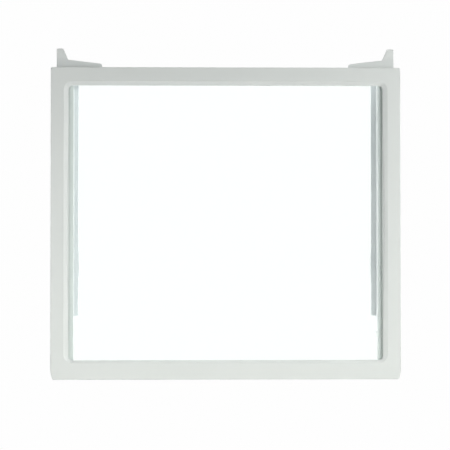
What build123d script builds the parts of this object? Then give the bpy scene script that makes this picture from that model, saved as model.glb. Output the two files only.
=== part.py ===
"""Crisper drawer cover: a moulded frame round a glass pane, with two drawer runners below.

Millimetres. +Z is up, the front edge faces -Y, and the cover is the same on both sides of X = 0.
The origin is under the middle of the whole cover, at the level of the runners' flat undersides.
An inset is a distance inwards from the frame's outer edge, seen from above.
"""

from build123d import *

import os

# Frame outline, seen from above
FRAME_WIDTH = 445.0
FRAME_DEPTH = 396.5
CORNER_RADIUS = 2.5
NOSE_LENGTH = 10.0
NOSE_LEAN = 2.5
NOSE_BLEND = 30.0

# Rim, from the outer edge in: a flat top, a slope, a low step, and a lip that lies on the glass
RIM_SIDE = 16.5
RIM_FRONT = 20.9
RIM_REAR = 17.8
SLOPE_SIDE = 5.5
SLOPE_FRONT = 2.8
SLOPE_REAR = 4.6
SLOPE_DROP = 2.1
LIP_WIDTH = 0.7
LIP_THICKNESS = 0.9
RELIEF_LENGTH = 250.0
RELIEF_DEPTH = 1.5
RIM_RISE = 3.8
RIM_EDGE_ROUND = 0.8
RIM_CREST_ROUND = 0.8
WINDOW_RADIUS = 5.0

# Hollow underside of the rim
TOP_WALL = 2.6
SKIRT_THICKNESS = 2.4
SKIRT_DEPTH = 20.0
HOLLOW_RADIUS = 1.0
FASCIA_DROP = 5.0
FASCIA_LENGTH = 16.0
FASCIA_RAMP = 12.0
RIB_THICKNESS = 1.6
RIB_PITCH = 42.0
RIB_SETBACK = 4.0

# Glass pane and the channel that grips it
GLASS_THICKNESS = 3.2
GLASS_INSET = 12.0
GLASS_RADIUS = 8.0
GLASS_ARRIS = 0.6
CHANNEL_WALL = 2.5
FLANGE_THICKNESS = 2.5
FLANGE_SIDE = 28.4
FLANGE_FRONT = 21.5
FLANGE_REAR = 19.5
FLANGE_RADIUS = 4.0

# Drawer runner: a head under the flange, a web, and a ledge for the drawer's edge
RUNNER_HEIGHT = 26.5
RUNNER_WALL = 2.5
RUNNER_SETBACK = 61.8
HEAD_WIDTH = 9.8
LEDGE_REACH = 6.3
LEDGE_THICKNESS = 3.0
LEDGE_SETBACK = 16.9
LEDGE_CORNER = 2.5
LEDGE_EDGE_ROUND = 0.8
LEDGE_ROOT_ROUND = 1.5
BULGE_REACH = 0.75
BULGE_LENGTH = 47.0
BULGE_SETBACK = 144.0

# Hooks, lips and lock fingers of the frame that hold a runner
RUNNER_CLEARANCE = 0.2
HOOK_COUNT = 6
HOOK_LENGTH = 16.0
HOOK_WALL = 2.4
HOOK_MARGIN = 22.0
KEEPER_LIP_THICKNESS = 1.8
KEEPER_LIP_DROP = 2.6
LOCK_FINGER_LENGTH = 7.5
LOCK_FINGER_THICKNESS = 1.8
LOCK_FINGER_CROWN = 1.5
LOCK_FINGER_DROP = 20.0
LOCK_FINGER_GAP = 1.8

# Rear locating tabs, one at each end of the rear wall
TAB_DROP = 14.0
TAB_THICKNESS = 3.0
TAB_INSET = 6.1
TAB_LENGTH = 58.2
TAB_REACH = 6.3
TAB_RISE = 5.2
TAB_END_RADIUS = 3.0
TAB_EDGE_ROUND = 0.4
FIN_REACH = 25.8
FIN_TIP_WIDTH = 8.3
FIN_SPREAD = 6.5
FIN_TIP_RADIUS = 1.2
FIN_ROOT_RADIUS = 1.5

# Levels, from the runners' undersides up
HEAD_BOTTOM = RUNNER_HEIGHT - RUNNER_WALL
FLANGE_BOTTOM = RUNNER_HEIGHT
GLASS_BOTTOM = FLANGE_BOTTOM + FLANGE_THICKNESS
GLASS_TOP = GLASS_BOTTOM + GLASS_THICKNESS
LIP_TOP = GLASS_TOP + LIP_THICKNESS
RIM_TOP = GLASS_TOP + RIM_RISE
SLOPE_FOOT = RIM_TOP - SLOPE_DROP
CEILING = RIM_TOP - TOP_WALL
SKIRT_BOTTOM = RIM_TOP - SKIRT_DEPTH
FASCIA_BOTTOM = SKIRT_BOTTOM - FASCIA_DROP
TAB_TOP = RIM_TOP - TAB_DROP
TAB_BOTTOM = TAB_TOP - TAB_THICKNESS

# Places across X, on the right side, and along Y
HALF_WIDTH = FRAME_WIDTH / 2
FLANGE_X = HALF_WIDTH - FLANGE_SIDE
WEB_X = FLANGE_X + KEEPER_LIP_THICKNESS + RUNNER_CLEARANCE
HEAD_X = WEB_X + HEAD_WIDTH
LEDGE_X = WEB_X - LEDGE_REACH
FRONT_Y = -(FRAME_DEPTH + FIN_REACH) / 2
REAR_Y = FRONT_Y + FRAME_DEPTH
RUNNER_FRONT_Y = FRONT_Y + RUNNER_SETBACK
RUNNER_REAR_Y = REAR_Y - SKIRT_THICKNESS - RUNNER_CLEARANCE


def block(x_range, y_range, z_range):
    """A box between the given limits."""
    ranges = (x_range, y_range, z_range)
    sizes = [high - low for low, high in ranges]
    centre = [(low + high) / 2 for low, high in ranges]
    return Pos(*centre) * Box(*sizes)


def prism(plan, low, high):
    """The plan raised between two levels."""
    return extrude(Pos(0, 0, low) * plan, high - low)


def inset_rectangle(side, front, rear, radius):
    """A rounded rectangle seen from above, with the given insets."""
    middle_y = (FRONT_Y + front + REAR_Y - rear) / 2
    shape = RectangleRounded(FRAME_WIDTH - 2 * side, FRAME_DEPTH - front - rear, radius)
    return Pos(0, middle_y) * shape


def frame_plan(inset, radius):
    """The frame's outline: square rear corners, and front corners that lean in."""
    side_x = HALF_WIDTH - inset
    nose_x = side_x - NOSE_LEAN
    corners = [
        (side_x, REAR_Y - inset),
        (side_x, FRONT_Y + NOSE_LENGTH),
        (nose_x, FRONT_Y + inset),
        (-nose_x, FRONT_Y + inset),
        (-side_x, FRONT_Y + NOSE_LENGTH),
        (-side_x, REAR_Y - inset),
    ]
    radii = [radius, NOSE_BLEND, radius, radius, NOSE_BLEND, radius]
    return make_face(FilletPolyline(*corners, radius=radii, close=True))


def space_below_skirt():
    """What the side view leaves out behind the fascia: a ramp, then the skirt's level edge."""
    fascia_end = FRONT_Y + FASCIA_LENGTH
    floor = FASCIA_BOTTOM - FASCIA_DROP
    points = [
        (fascia_end, floor),
        (fascia_end, FASCIA_BOTTOM),
        (fascia_end + FASCIA_RAMP, SKIRT_BOTTOM),
        (REAR_Y + SKIRT_THICKNESS, SKIRT_BOTTOM),
        (REAR_Y + SKIRT_THICKNESS, floor),
    ]
    profile = Plane.YZ * make_face(Polyline(*points, close=True))
    return extrude(profile, FRAME_WIDTH, both=True)


def rim_shell():
    """The top wall with its rounded edge, and the skirt and fascia that hang from it."""
    shell = prism(frame_plan(0, CORNER_RADIUS), FASCIA_BOTTOM, RIM_TOP)
    shell = fillet(shell.faces().sort_by(Axis.Z)[-1].edges(), RIM_EDGE_ROUND)
    hollow = prism(frame_plan(SKIRT_THICKNESS, HOLLOW_RADIUS), FASCIA_BOTTOM, CEILING)
    return shell - hollow - space_below_skirt()


def glass_channel():
    """The ring under the rim that grips the glass, with the flange below it."""
    inset = GLASS_INSET - CHANNEL_WALL
    ring = inset_rectangle(inset, inset, inset, GLASS_RADIUS + CHANNEL_WALL)
    opening = inset_rectangle(FLANGE_SIDE, FLANGE_FRONT, FLANGE_REAR, FLANGE_RADIUS)
    return prism(ring, FLANGE_BOTTOM, RIM_TOP - TOP_WALL / 2) - prism(opening, FLANGE_BOTTOM, GLASS_BOTTOM)


def side_relief():
    """The right side's long shallow relief, which bares more of the lip at the foot of the slope."""
    foot_x = HALF_WIDTH - RIM_SIDE - SLOPE_SIDE
    middle_y = (FRONT_Y + REAR_Y) / 2
    front_end = (foot_x, middle_y - RELIEF_LENGTH / 2)
    rear_end = (foot_x, middle_y + RELIEF_LENGTH / 2)
    bow = ThreePointArc(front_end, (foot_x + RELIEF_DEPTH, middle_y), rear_end)
    return prism(make_face(bow + Line(rear_end, front_end)), LIP_TOP, RIM_TOP)


def rim_window():
    """The opening over the glass: the lip's edge, the step above the lip, and the slope up to the rim."""
    crest_insets = (RIM_SIDE, RIM_FRONT, RIM_REAR)
    step_insets = (RIM_SIDE + SLOPE_SIDE, RIM_FRONT + SLOPE_FRONT, RIM_REAR + SLOPE_REAR)
    edge_insets = [inset + LIP_WIDTH for inset in step_insets]
    edge = inset_rectangle(*edge_insets, WINDOW_RADIUS)
    step = inset_rectangle(*step_insets, WINDOW_RADIUS + LIP_WIDTH)
    crest = inset_rectangle(*crest_insets, WINDOW_RADIUS + LIP_WIDTH + SLOPE_SIDE)
    slope = loft([Pos(0, 0, SLOPE_FOOT) * step, Pos(0, 0, RIM_TOP) * crest], ruled=True)
    window = prism(edge, GLASS_BOTTOM, LIP_TOP) + prism(step, LIP_TOP, SLOPE_FOOT) + slope
    return window + with_mirror([side_relief()])


def rim():
    """The rim with its channel and window, and a soft crest where the slope begins."""
    body = rim_shell() + glass_channel() - rim_window()
    crest = body.faces().sort_by(Axis.Z)[-1].inner_wires()[0].edges()
    return fillet(crest, RIM_CREST_ROUND)


def rim_ribs():
    """Cross ribs between the skirt and the glass channel, on all four sides."""
    z_range = (SKIRT_BOTTOM + RIB_SETBACK, RIM_TOP - TOP_WALL / 2)
    outer = SKIRT_THICKNESS / 2
    inner = GLASS_INSET - CHANNEL_WALL / 2
    half_rib = RIB_THICKNESS / 2
    across = int((FRAME_WIDTH - 2 * GLASS_INSET) / RIB_PITCH)
    along = int((FRAME_DEPTH - 2 * GLASS_INSET) / RIB_PITCH)
    middle_y = (FRONT_Y + REAR_Y) / 2
    ribs = []
    for place in GridLocations(RIB_PITCH, RIB_PITCH, across, 1):
        x_range = (place.position.X - half_rib, place.position.X + half_rib)
        ribs.append(block(x_range, (FRONT_Y + outer, FRONT_Y + inner), z_range))
        ribs.append(block(x_range, (REAR_Y - inner, REAR_Y - outer), z_range))
    for place in GridLocations(RIB_PITCH, RIB_PITCH, 1, along):
        y = middle_y + place.position.Y
        rib = block((HALF_WIDTH - inner, HALF_WIDTH - outer), (y - half_rib, y + half_rib), z_range)
        ribs += with_mirror([rib])
    return ribs


def runner_hooks():
    """The right side's row of L-shaped hooks that reach under the runner's head."""
    post_x = HEAD_X + RUNNER_CLEARANCE
    foot_x = WEB_X + RUNNER_WALL + RUNNER_CLEARANCE
    foot_top = HEAD_BOTTOM - RUNNER_CLEARANCE
    foot_bottom = foot_top - HOOK_WALL
    first_y = RUNNER_FRONT_Y + HOOK_MARGIN
    step = (RUNNER_REAR_Y - HOOK_MARGIN - first_y) / (HOOK_COUNT - 1)
    hooks = []
    for index in range(HOOK_COUNT):
        y = first_y + index * step
        y_range = (y - HOOK_LENGTH / 2, y + HOOK_LENGTH / 2)
        post = block((post_x, post_x + HOOK_WALL), y_range, (foot_bottom, GLASS_BOTTOM))
        foot = block((foot_x, post_x + HOOK_WALL), y_range, (foot_bottom, foot_top))
        hooks.append(post + foot)
    return hooks


def keeper_lip():
    """The right flange's turned-down edge, which keeps the runner from moving inwards."""
    x_range = (FLANGE_X, FLANGE_X + KEEPER_LIP_THICKNESS)
    y_range = (FRONT_Y + FLANGE_FRONT, REAR_Y - FLANGE_REAR)
    return block(x_range, y_range, (FLANGE_BOTTOM - KEEPER_LIP_DROP, GLASS_BOTTOM))


def lock_finger():
    """The right side's spring finger, which stands before the runner, with a crowned inner face."""
    outer_x = WEB_X + LOCK_FINGER_THICKNESS
    rear_y = RUNNER_FRONT_Y - LOCK_FINGER_GAP
    front_y = rear_y - LOCK_FINGER_LENGTH
    back = Polyline((WEB_X, rear_y), (outer_x, rear_y), (outer_x, front_y), (WEB_X, front_y))
    crown_top = (WEB_X - LOCK_FINGER_CROWN, (front_y + rear_y) / 2)
    crown = ThreePointArc((WEB_X, front_y), crown_top, (WEB_X, rear_y))
    return prism(make_face(back + crown), FLANGE_BOTTOM - LOCK_FINGER_DROP, GLASS_BOTTOM)


def rear_tab():
    """The right tab: a low wedge along the rear wall that rises to a fin at its outer end."""
    outer_x = HALF_WIDTH - TAB_INSET
    fin_x = outer_x - FIN_TIP_WIDTH
    inner_x = outer_x - TAB_LENGTH
    root_y = REAR_Y - SKIRT_THICKNESS / 2
    points = [
        (outer_x, root_y),
        (outer_x, REAR_Y + FIN_REACH),
        (fin_x, REAR_Y + FIN_REACH),
        (fin_x - FIN_SPREAD, REAR_Y + TAB_REACH + TAB_RISE),
        (inner_x, REAR_Y + TAB_REACH),
        (inner_x, root_y),
    ]
    radii = [0, FIN_TIP_RADIUS, FIN_TIP_RADIUS, FIN_ROOT_RADIUS, TAB_END_RADIUS, 0]
    plan = make_face(FilletPolyline(*points, radius=radii, close=True))
    tab = prism(plan, TAB_BOTTOM, TAB_TOP)
    rim_edges = tab.faces().sort_by(Axis.Z)[-1].edges()
    return fillet(rim_edges.filter_by(lambda edge: edge.center().Y > REAR_Y), TAB_EDGE_ROUND)


def with_mirror(pieces):
    """The pieces of the right side, and their mirror images on the left."""
    return pieces + [mirror(piece, Plane.YZ) for piece in pieces]


def make_glass_panel():
    """The pane, with rounded corners and a ground arris along both edges."""
    plan = inset_rectangle(GLASS_INSET, GLASS_INSET, GLASS_INSET, GLASS_RADIUS)
    pane = prism(plan, GLASS_BOTTOM, GLASS_TOP)
    by_level = pane.faces().sort_by(Axis.Z)
    return chamfer(by_level[0].edges() + by_level[-1].edges(), GLASS_ARRIS)


def make_frame(glass_panel):
    """The one-piece moulding: rim, channel, ribs, tabs and the runners' holders."""
    holders = runner_hooks() + [keeper_lip(), lock_finger()]
    features = rim_ribs() + with_mirror(holders + [rear_tab()])
    return rim() + features - glass_panel


def ledge():
    """The right runner's ledge: a rounded front corner and a shallow bulge along its inner edge."""
    outer_x = WEB_X + RUNNER_WALL
    front_y = RUNNER_FRONT_Y + LEDGE_SETBACK
    bulge_y = FRONT_Y + BULGE_SETBACK
    bulge_front = (LEDGE_X, bulge_y - BULGE_LENGTH / 2)
    bulge_rear = (LEDGE_X, bulge_y + BULGE_LENGTH / 2)
    corners = [
        bulge_front,
        (LEDGE_X, front_y),
        (outer_x, front_y),
        (outer_x, RUNNER_REAR_Y),
        (LEDGE_X, RUNNER_REAR_Y),
        bulge_rear,
    ]
    edge = FilletPolyline(*corners, radius=[LEDGE_CORNER, 0, 0, LEDGE_CORNER])
    bulge = ThreePointArc(bulge_rear, (LEDGE_X - BULGE_REACH, bulge_y), bulge_front)
    body = prism(make_face(edge + bulge), 0, LEDGE_THICKNESS)
    top_edges = body.faces().sort_by(Axis.Z)[-1].edges()
    return fillet(top_edges.filter_by(lambda edge: edge.center().X < WEB_X), LEDGE_EDGE_ROUND)


def make_runner():
    """The right runner: head, web and ledge in one moulding, with a rounded inner root."""
    y_range = (RUNNER_FRONT_Y, RUNNER_REAR_Y)
    head = block((WEB_X, HEAD_X), y_range, (HEAD_BOTTOM, RUNNER_HEIGHT))
    web = block((WEB_X, WEB_X + RUNNER_WALL), y_range, (0, RUNNER_HEIGHT))
    runner = head + web + ledge()
    root = runner.edges().filter_by(Axis.Y).sort_by_distance((WEB_X, 0, LEDGE_THICKNESS))[0]
    return fillet(root, LEDGE_ROOT_ROUND)


glass_panel = make_glass_panel()
right_runner = make_runner()
nodes = {
    "frame": make_frame(glass_panel),
    "glass_panel": glass_panel,
    "right_drawer_runner": right_runner,
    "left_drawer_runner": mirror(right_runner, Plane.YZ),
}

os.makedirs("parts", exist_ok=True)
for name, shape in nodes.items():
    export_step(shape, f"parts/{name}.step")
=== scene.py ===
"""Looks of the crisper drawer cover: moulded plastics, clear pane, pale floor, soft light and the camera.

Metres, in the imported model's frame: +Z up, the front edge faces -Y, the rear tabs point to +Y.
"""

import math

import bmesh
import bpy
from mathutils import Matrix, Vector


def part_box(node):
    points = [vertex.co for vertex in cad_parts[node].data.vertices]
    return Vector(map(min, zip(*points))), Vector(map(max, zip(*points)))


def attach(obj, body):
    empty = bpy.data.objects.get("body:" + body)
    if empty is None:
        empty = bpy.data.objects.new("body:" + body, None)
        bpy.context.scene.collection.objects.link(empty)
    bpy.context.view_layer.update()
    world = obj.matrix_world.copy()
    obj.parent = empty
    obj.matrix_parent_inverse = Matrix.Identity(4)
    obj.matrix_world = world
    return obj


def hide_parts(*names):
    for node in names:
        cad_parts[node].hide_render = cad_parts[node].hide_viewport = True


# Camera, fitted to the photograph: it looks almost straight down, a little from the left
IMAGE_SIZE = 450
CAMERA_HEIGHT = 1.5348
CAMERA_X = -0.0597
CAMERA_Y = -0.0386
CAMERA_TILT_X = math.radians(0.892)
CAMERA_TILT_Y = math.radians(-0.987)
CAMERA_FOCAL_PIXELS = 1181.3
CAMERA_CENTRE_PIXEL_X = 199.36
SENSOR_WIDTH = 36.0

# Plastics: two near tones, the range of roughness, and the grain's cells in a metre and its height
FRAME_LOOK = {
    "tones": ((0.730, 0.764, 0.751), (0.747, 0.778, 0.767)),
    "roughness": (0.40, 0.52),
    "grain_cells": 1400.0,
    "grain_height": 0.00002,
}
RUNNER_LOOK = {
    "tones": ((0.800, 0.830, 0.845), (0.820, 0.845, 0.860)),
    "roughness": (0.34, 0.44),
    "grain_cells": 900.0,
    "grain_height": 0.00001,
}

# Noise in the plastics: cells in a metre, detail, and the range that most of its values lie in
TONE_CELLS = 9.0
SHEEN_CELLS = 60.0
SOFT_DETAIL = 2.0
GRAIN_DETAIL = 3.0
NOISE_RANGE = (0.3, 0.7)

# Glass: its tint to the eye, the tint of the light that it lets through, and its refraction
GLASS_TINT = (0.975, 1.0, 0.992)
GLASS_LIGHT_TINT = (0.985, 1.0, 0.997)
GLASS_IOR = 1.52

# Pane: the glass solid's own corner and arris, and the air film between it and the channel
PANE_RADIUS = 0.008
PANE_ARRIS = 0.0006
PANE_AIR_FILM = 0.0001
PANE_CORNER_STEPS = 10

# Floor: how bright it is where it is seen directly and where it is seen through the pane
WHITE = (1.0, 1.0, 1.0)
BLACK = (0.0, 0.0, 0.0)
FLOOR_SEEN = 0.991
FLOOR_THROUGH_PANE = 1.10
# Floor pieces: width and depth, drop below the cover, and strength as a light
FLOOR_PIECES = {
    "floor": {"size": (8.0, 8.0), "drop": 0.0007, "glow": 1.15},
    "light_panel": {"size": (0.41, 0.37), "drop": 0.0004, "glow": 1.92},
}

# Lamps: width and depth, power in watts, and whether they show in the pane. All but two face straight down
WORLD_STRENGTH = 0.05
COVER_MIDDLE = (0.0, 0.0, 0.03)
WARM_WHITE = (1.0, 1.0, 0.93)
COOL_WHITE = (0.975, 0.98, 1.0)
LAMPS = {
    "right_key": {
        "place": (1.90, 0.33, 2.30), "target": COVER_MIDDLE,
        "size": (0.6, 0.6), "power": 23.2, "colour": COOL_WHITE, "mirrored": True,
    },
    "right_kick": {
        "place": (1.00, 0.30, 0.60), "target": COVER_MIDDLE,
        "size": (0.5, 0.5), "power": 4.2, "colour": WARM_WHITE, "mirrored": False,
    },
    "right_bar": {
        "place": (0.42, 0.07, 0.60), "target": (0.42, 0.07, 0.0),
        "size": (0.12, 0.6), "power": 0.66, "colour": COOL_WHITE, "mirrored": False,
    },
    "front_bar": {
        "place": (0.06, -0.38, 0.60), "target": (0.06, -0.38, 0.0),
        "size": (0.9, 0.12), "power": 1.82, "colour": WARM_WHITE, "mirrored": True,
    },
    "left_fill": {
        "place": (-0.5, -0.05, 1.0), "target": (-0.5, -0.05, 0.0),
        "size": (0.4, 0.4), "power": 2.45, "colour": COOL_WHITE, "mirrored": True,
    },
    "left_bar": {
        "place": (-0.42, -0.1, 0.60), "target": (-0.42, -0.1, 0.0),
        "size": (0.12, 0.6), "power": 0.56, "colour": WARM_WHITE, "mirrored": True,
    },
}

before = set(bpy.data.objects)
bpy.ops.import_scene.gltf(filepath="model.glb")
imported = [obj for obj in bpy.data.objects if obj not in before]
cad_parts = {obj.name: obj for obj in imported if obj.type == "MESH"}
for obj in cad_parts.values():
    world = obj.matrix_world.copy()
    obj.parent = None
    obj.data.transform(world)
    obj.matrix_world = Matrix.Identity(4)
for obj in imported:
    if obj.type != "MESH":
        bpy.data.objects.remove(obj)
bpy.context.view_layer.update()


def rgba(colour):
    """A colour with full cover."""
    return (*colour, 1.0)


def new_material(name):
    """A material whose tree holds its output and a Principled shader."""
    material = bpy.data.materials.new(name)
    material.use_nodes = True
    tree = material.node_tree
    return material, tree, tree.nodes["Principled BSDF"]


def noise(tree, cells, detail):
    """Noise over the object's own coordinates, with the given number of cells in a metre."""
    place = tree.nodes.new("ShaderNodeTexCoord")
    texture = tree.nodes.new("ShaderNodeTexNoise")
    texture.inputs["Scale"].default_value = cells
    texture.inputs["Detail"].default_value = detail
    tree.links.new(place.outputs["Object"], texture.inputs["Vector"])
    return texture.outputs["Fac"]


def spread(tree, value, low, high):
    """A noise value stretched over the range from low to high."""
    node = tree.nodes.new("ShaderNodeMapRange")
    node.inputs["From Min"].default_value = NOISE_RANGE[0]
    node.inputs["From Max"].default_value = NOISE_RANGE[1]
    node.inputs["To Min"].default_value = low
    node.inputs["To Max"].default_value = high
    tree.links.new(value, node.inputs["Value"])
    return node.outputs["Result"]


def blend_colours(tree, value, first, second):
    """A colour between two, by a value from 0 to 1."""
    node = tree.nodes.new("ShaderNodeMix")
    node.data_type = "RGBA"
    node.inputs["A"].default_value = rgba(first)
    node.inputs["B"].default_value = rgba(second)
    tree.links.new(value, node.inputs["Factor"])
    return node.outputs["Result"]


def ray(tree, fact):
    """A fact about the ray that arrives, such as whether it comes from the camera."""
    return tree.nodes.new("ShaderNodeLightPath").outputs[fact]


def combine(tree, operation, first, second):
    """Two values put together by a mathematical operation."""
    node = tree.nodes.new("ShaderNodeMath")
    node.operation = operation
    tree.links.new(first, node.inputs[0])
    tree.links.new(second, node.inputs[1])
    return node.outputs["Value"]


def strength_where(tree, where, strength, otherwise):
    """One strength where a value is 1, and another, a number or a node's output, where it is 0."""
    node = tree.nodes.new("ShaderNodeMix")
    node.inputs["B"].default_value = strength
    tree.links.new(where, node.inputs["Factor"])
    if isinstance(otherwise, float):
        node.inputs["A"].default_value = otherwise
    else:
        tree.links.new(otherwise, node.inputs["A"])
    return node.outputs["Result"]


def clear_where(tree, where, shader, tint):
    """Makes a surface see-through, with a tint, where a value is 1."""
    clear = tree.nodes.new("ShaderNodeBsdfTransparent")
    clear.inputs["Color"].default_value = rgba(tint)
    mix = tree.nodes.new("ShaderNodeMixShader")
    tree.links.new(where, mix.inputs["Fac"])
    tree.links.new(shader.outputs["BSDF"], mix.inputs[1])
    tree.links.new(clear.outputs["BSDF"], mix.inputs[2])
    tree.links.new(mix.outputs["Shader"], tree.nodes["Material Output"].inputs["Surface"])


def moulded_plastic(name, look):
    """Moulded plastic: a faint drift of tone, uneven sheen and a fine spark-eroded grain."""
    material, tree, shader = new_material(name)
    tone = spread(tree, noise(tree, TONE_CELLS, SOFT_DETAIL), 0.0, 1.0)
    tree.links.new(blend_colours(tree, tone, *look["tones"]), shader.inputs["Base Color"])
    sheen = spread(tree, noise(tree, SHEEN_CELLS, SOFT_DETAIL), *look["roughness"])
    tree.links.new(sheen, shader.inputs["Roughness"])
    bump = tree.nodes.new("ShaderNodeBump")
    bump.inputs["Distance"].default_value = look["grain_height"]
    tree.links.new(noise(tree, look["grain_cells"], GRAIN_DETAIL), bump.inputs["Height"])
    tree.links.new(bump.outputs["Normal"], shader.inputs["Normal"])
    return material


def clear_glass(name):
    """Clear float glass with a faint green cast, which lets the lamps' light through."""
    material, tree, shader = new_material(name)
    shader.inputs["Base Color"].default_value = rgba(GLASS_TINT)
    shader.inputs["Roughness"].default_value = 0.0
    shader.inputs["IOR"].default_value = GLASS_IOR
    shader.inputs["Transmission Weight"].default_value = 1.0
    from_lamps = combine(tree, "MAXIMUM", ray(tree, "Is Shadow Ray"), ray(tree, "Is Diffuse Ray"))
    clear_where(tree, from_lamps, shader, GLASS_LIGHT_TINT)
    return material


def corner_points(low, high, inset, radius):
    """The outline of a rounded rectangle between two corners, drawn in by an inset."""
    turn = math.pi / 2 / PANE_CORNER_STEPS
    centres = [
        (high[0] - radius, high[1] - radius),
        (low[0] + radius, high[1] - radius),
        (low[0] + radius, low[1] + radius),
        (high[0] - radius, low[1] + radius),
    ]
    reach = radius - inset
    points = []
    for corner, (x, y) in enumerate(centres):
        for step in range(PANE_CORNER_STEPS + 1):
            angle = corner * math.pi / 2 + step * turn
            points.append((x + reach * math.cos(angle), y + reach * math.sin(angle)))
    return points


def add_pane(material):
    """The glass pane, with rounded corners and ground arrises, a hair clear of the channel's faces."""
    low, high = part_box("glass_panel")
    low = [value + PANE_AIR_FILM for value in low]
    high = [value - PANE_AIR_FILM for value in high]
    levels = [
        (low[2], PANE_ARRIS),
        (low[2] + PANE_ARRIS, 0.0),
        (high[2] - PANE_ARRIS, 0.0),
        (high[2], PANE_ARRIS),
    ]
    build = bmesh.new()
    rings = []
    for z, inset in levels:
        outline = corner_points(low, high, inset, PANE_RADIUS)
        rings.append([build.verts.new((x, y, z)) for x, y in outline])
    for lower, upper in zip(rings, rings[1:]):
        for index in range(len(lower)):
            after = (index + 1) % len(lower)
            build.faces.new((lower[index], lower[after], upper[after], upper[index]))
    build.faces.new(rings[0][::-1])
    build.faces.new(rings[-1])
    mesh = bpy.data.meshes.new("pane")
    build.to_mesh(mesh)
    build.free()
    mesh.materials.append(material)
    pane = bpy.data.objects.new("pane", mesh)
    bpy.context.scene.collection.objects.link(pane)
    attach(pane, "root")
    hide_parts("glass_panel")


def dress(node, material):
    """Gives a node of the frame its material."""
    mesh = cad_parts[node].data
    mesh.materials.clear()
    mesh.materials.append(material)


def floor_white(name, glow):
    """A white that glows on its upper side, and is clear from below.

    It has one strength to the eye, one through the pane, and one as a light.
    """
    material, tree, shader = new_material(name)
    shader.inputs["Base Color"].default_value = rgba(BLACK)
    shader.inputs["Specular IOR Level"].default_value = 0.0
    shader.inputs["Emission Color"].default_value = rgba(WHITE)
    through = strength_where(tree, ray(tree, "Is Transmission Ray"), FLOOR_THROUGH_PANE, glow)
    seen = strength_where(tree, ray(tree, "Is Camera Ray"), FLOOR_SEEN, through)
    tree.links.new(seen, shader.inputs["Emission Strength"])
    underside = tree.nodes.new("ShaderNodeNewGeometry").outputs["Backfacing"]
    clear_where(tree, underside, shader, WHITE)
    return material


def add_floor():
    """The white floor that the cover lies on, and the panel in it that throws light up under the pane."""
    for name, piece in FLOOR_PIECES.items():
        bpy.ops.mesh.primitive_plane_add(size=1.0, location=(0.0, 0.0, -piece["drop"]))
        floor = bpy.context.object
        floor.name = name
        floor.scale = (*piece["size"], 1.0)
        floor.data.materials.append(floor_white(name + "_white", piece["glow"]))


def add_world():
    """Faint light from all round, which looks as white as the floor, also straight through the pane."""
    world = bpy.data.worlds.new("studio")
    world.use_nodes = True
    tree = world.node_tree
    looked_at = combine(tree, "MAXIMUM", ray(tree, "Is Camera Ray"), ray(tree, "Is Transmission Ray"))
    unmirrored = combine(tree, "GREATER_THAN", looked_at, ray(tree, "Glossy Depth"))
    strength = strength_where(tree, unmirrored, FLOOR_SEEN, WORLD_STRENGTH)
    background = tree.nodes["Background"]
    background.inputs["Color"].default_value = rgba(WHITE)
    tree.links.new(strength, background.inputs["Strength"])
    bpy.context.scene.world = world


def aim(lamp, place, target):
    """Puts a lamp at a place, turned to face the target."""
    lamp.location = place
    away = [a - b for a, b in zip(place, target)]
    flat = math.hypot(away[0], away[1])
    lamp.rotation_euler = (math.atan2(flat, away[2]), 0.0, math.atan2(away[0], -away[1]))


def add_lamps():
    """A high key lamp at the right and five weak lamps that fill in."""
    for name, lamp in LAMPS.items():
        light = bpy.data.lights.new(name, "AREA")
        light.shape = "RECTANGLE"
        light.size, light.size_y = lamp["size"]
        light.energy = lamp["power"]
        light.color = lamp["colour"]
        holder = bpy.data.objects.new(name, light)
        holder.visible_camera = False
        holder.visible_glossy = lamp["mirrored"]
        holder.visible_transmission = lamp["mirrored"]
        bpy.context.scene.collection.objects.link(holder)
        aim(holder, lamp["place"], lamp["target"])


def add_camera():
    """The camera of the photograph."""
    data = bpy.data.cameras.new("camera")
    data.sensor_width = SENSOR_WIDTH
    data.lens = CAMERA_FOCAL_PIXELS * SENSOR_WIDTH / IMAGE_SIZE
    data.shift_x = (IMAGE_SIZE / 2 - CAMERA_CENTRE_PIXEL_X) / IMAGE_SIZE
    camera = bpy.data.objects.new("camera", data)
    camera.location = (CAMERA_X, CAMERA_Y, CAMERA_HEIGHT)
    camera.rotation_euler = (CAMERA_TILT_X, CAMERA_TILT_Y, 0.0)
    bpy.context.scene.collection.objects.link(camera)
    bpy.context.scene.camera = camera


runner_plastic = moulded_plastic("runner_plastic", RUNNER_LOOK)
dress("frame", moulded_plastic("frame_plastic", FRAME_LOOK))
dress("left_drawer_runner", runner_plastic)
dress("right_drawer_runner", runner_plastic)
add_pane(clear_glass("pane_glass"))

add_floor()
add_world()
add_lamps()
add_camera()
bpy.context.scene.view_settings.view_transform = "Standard"
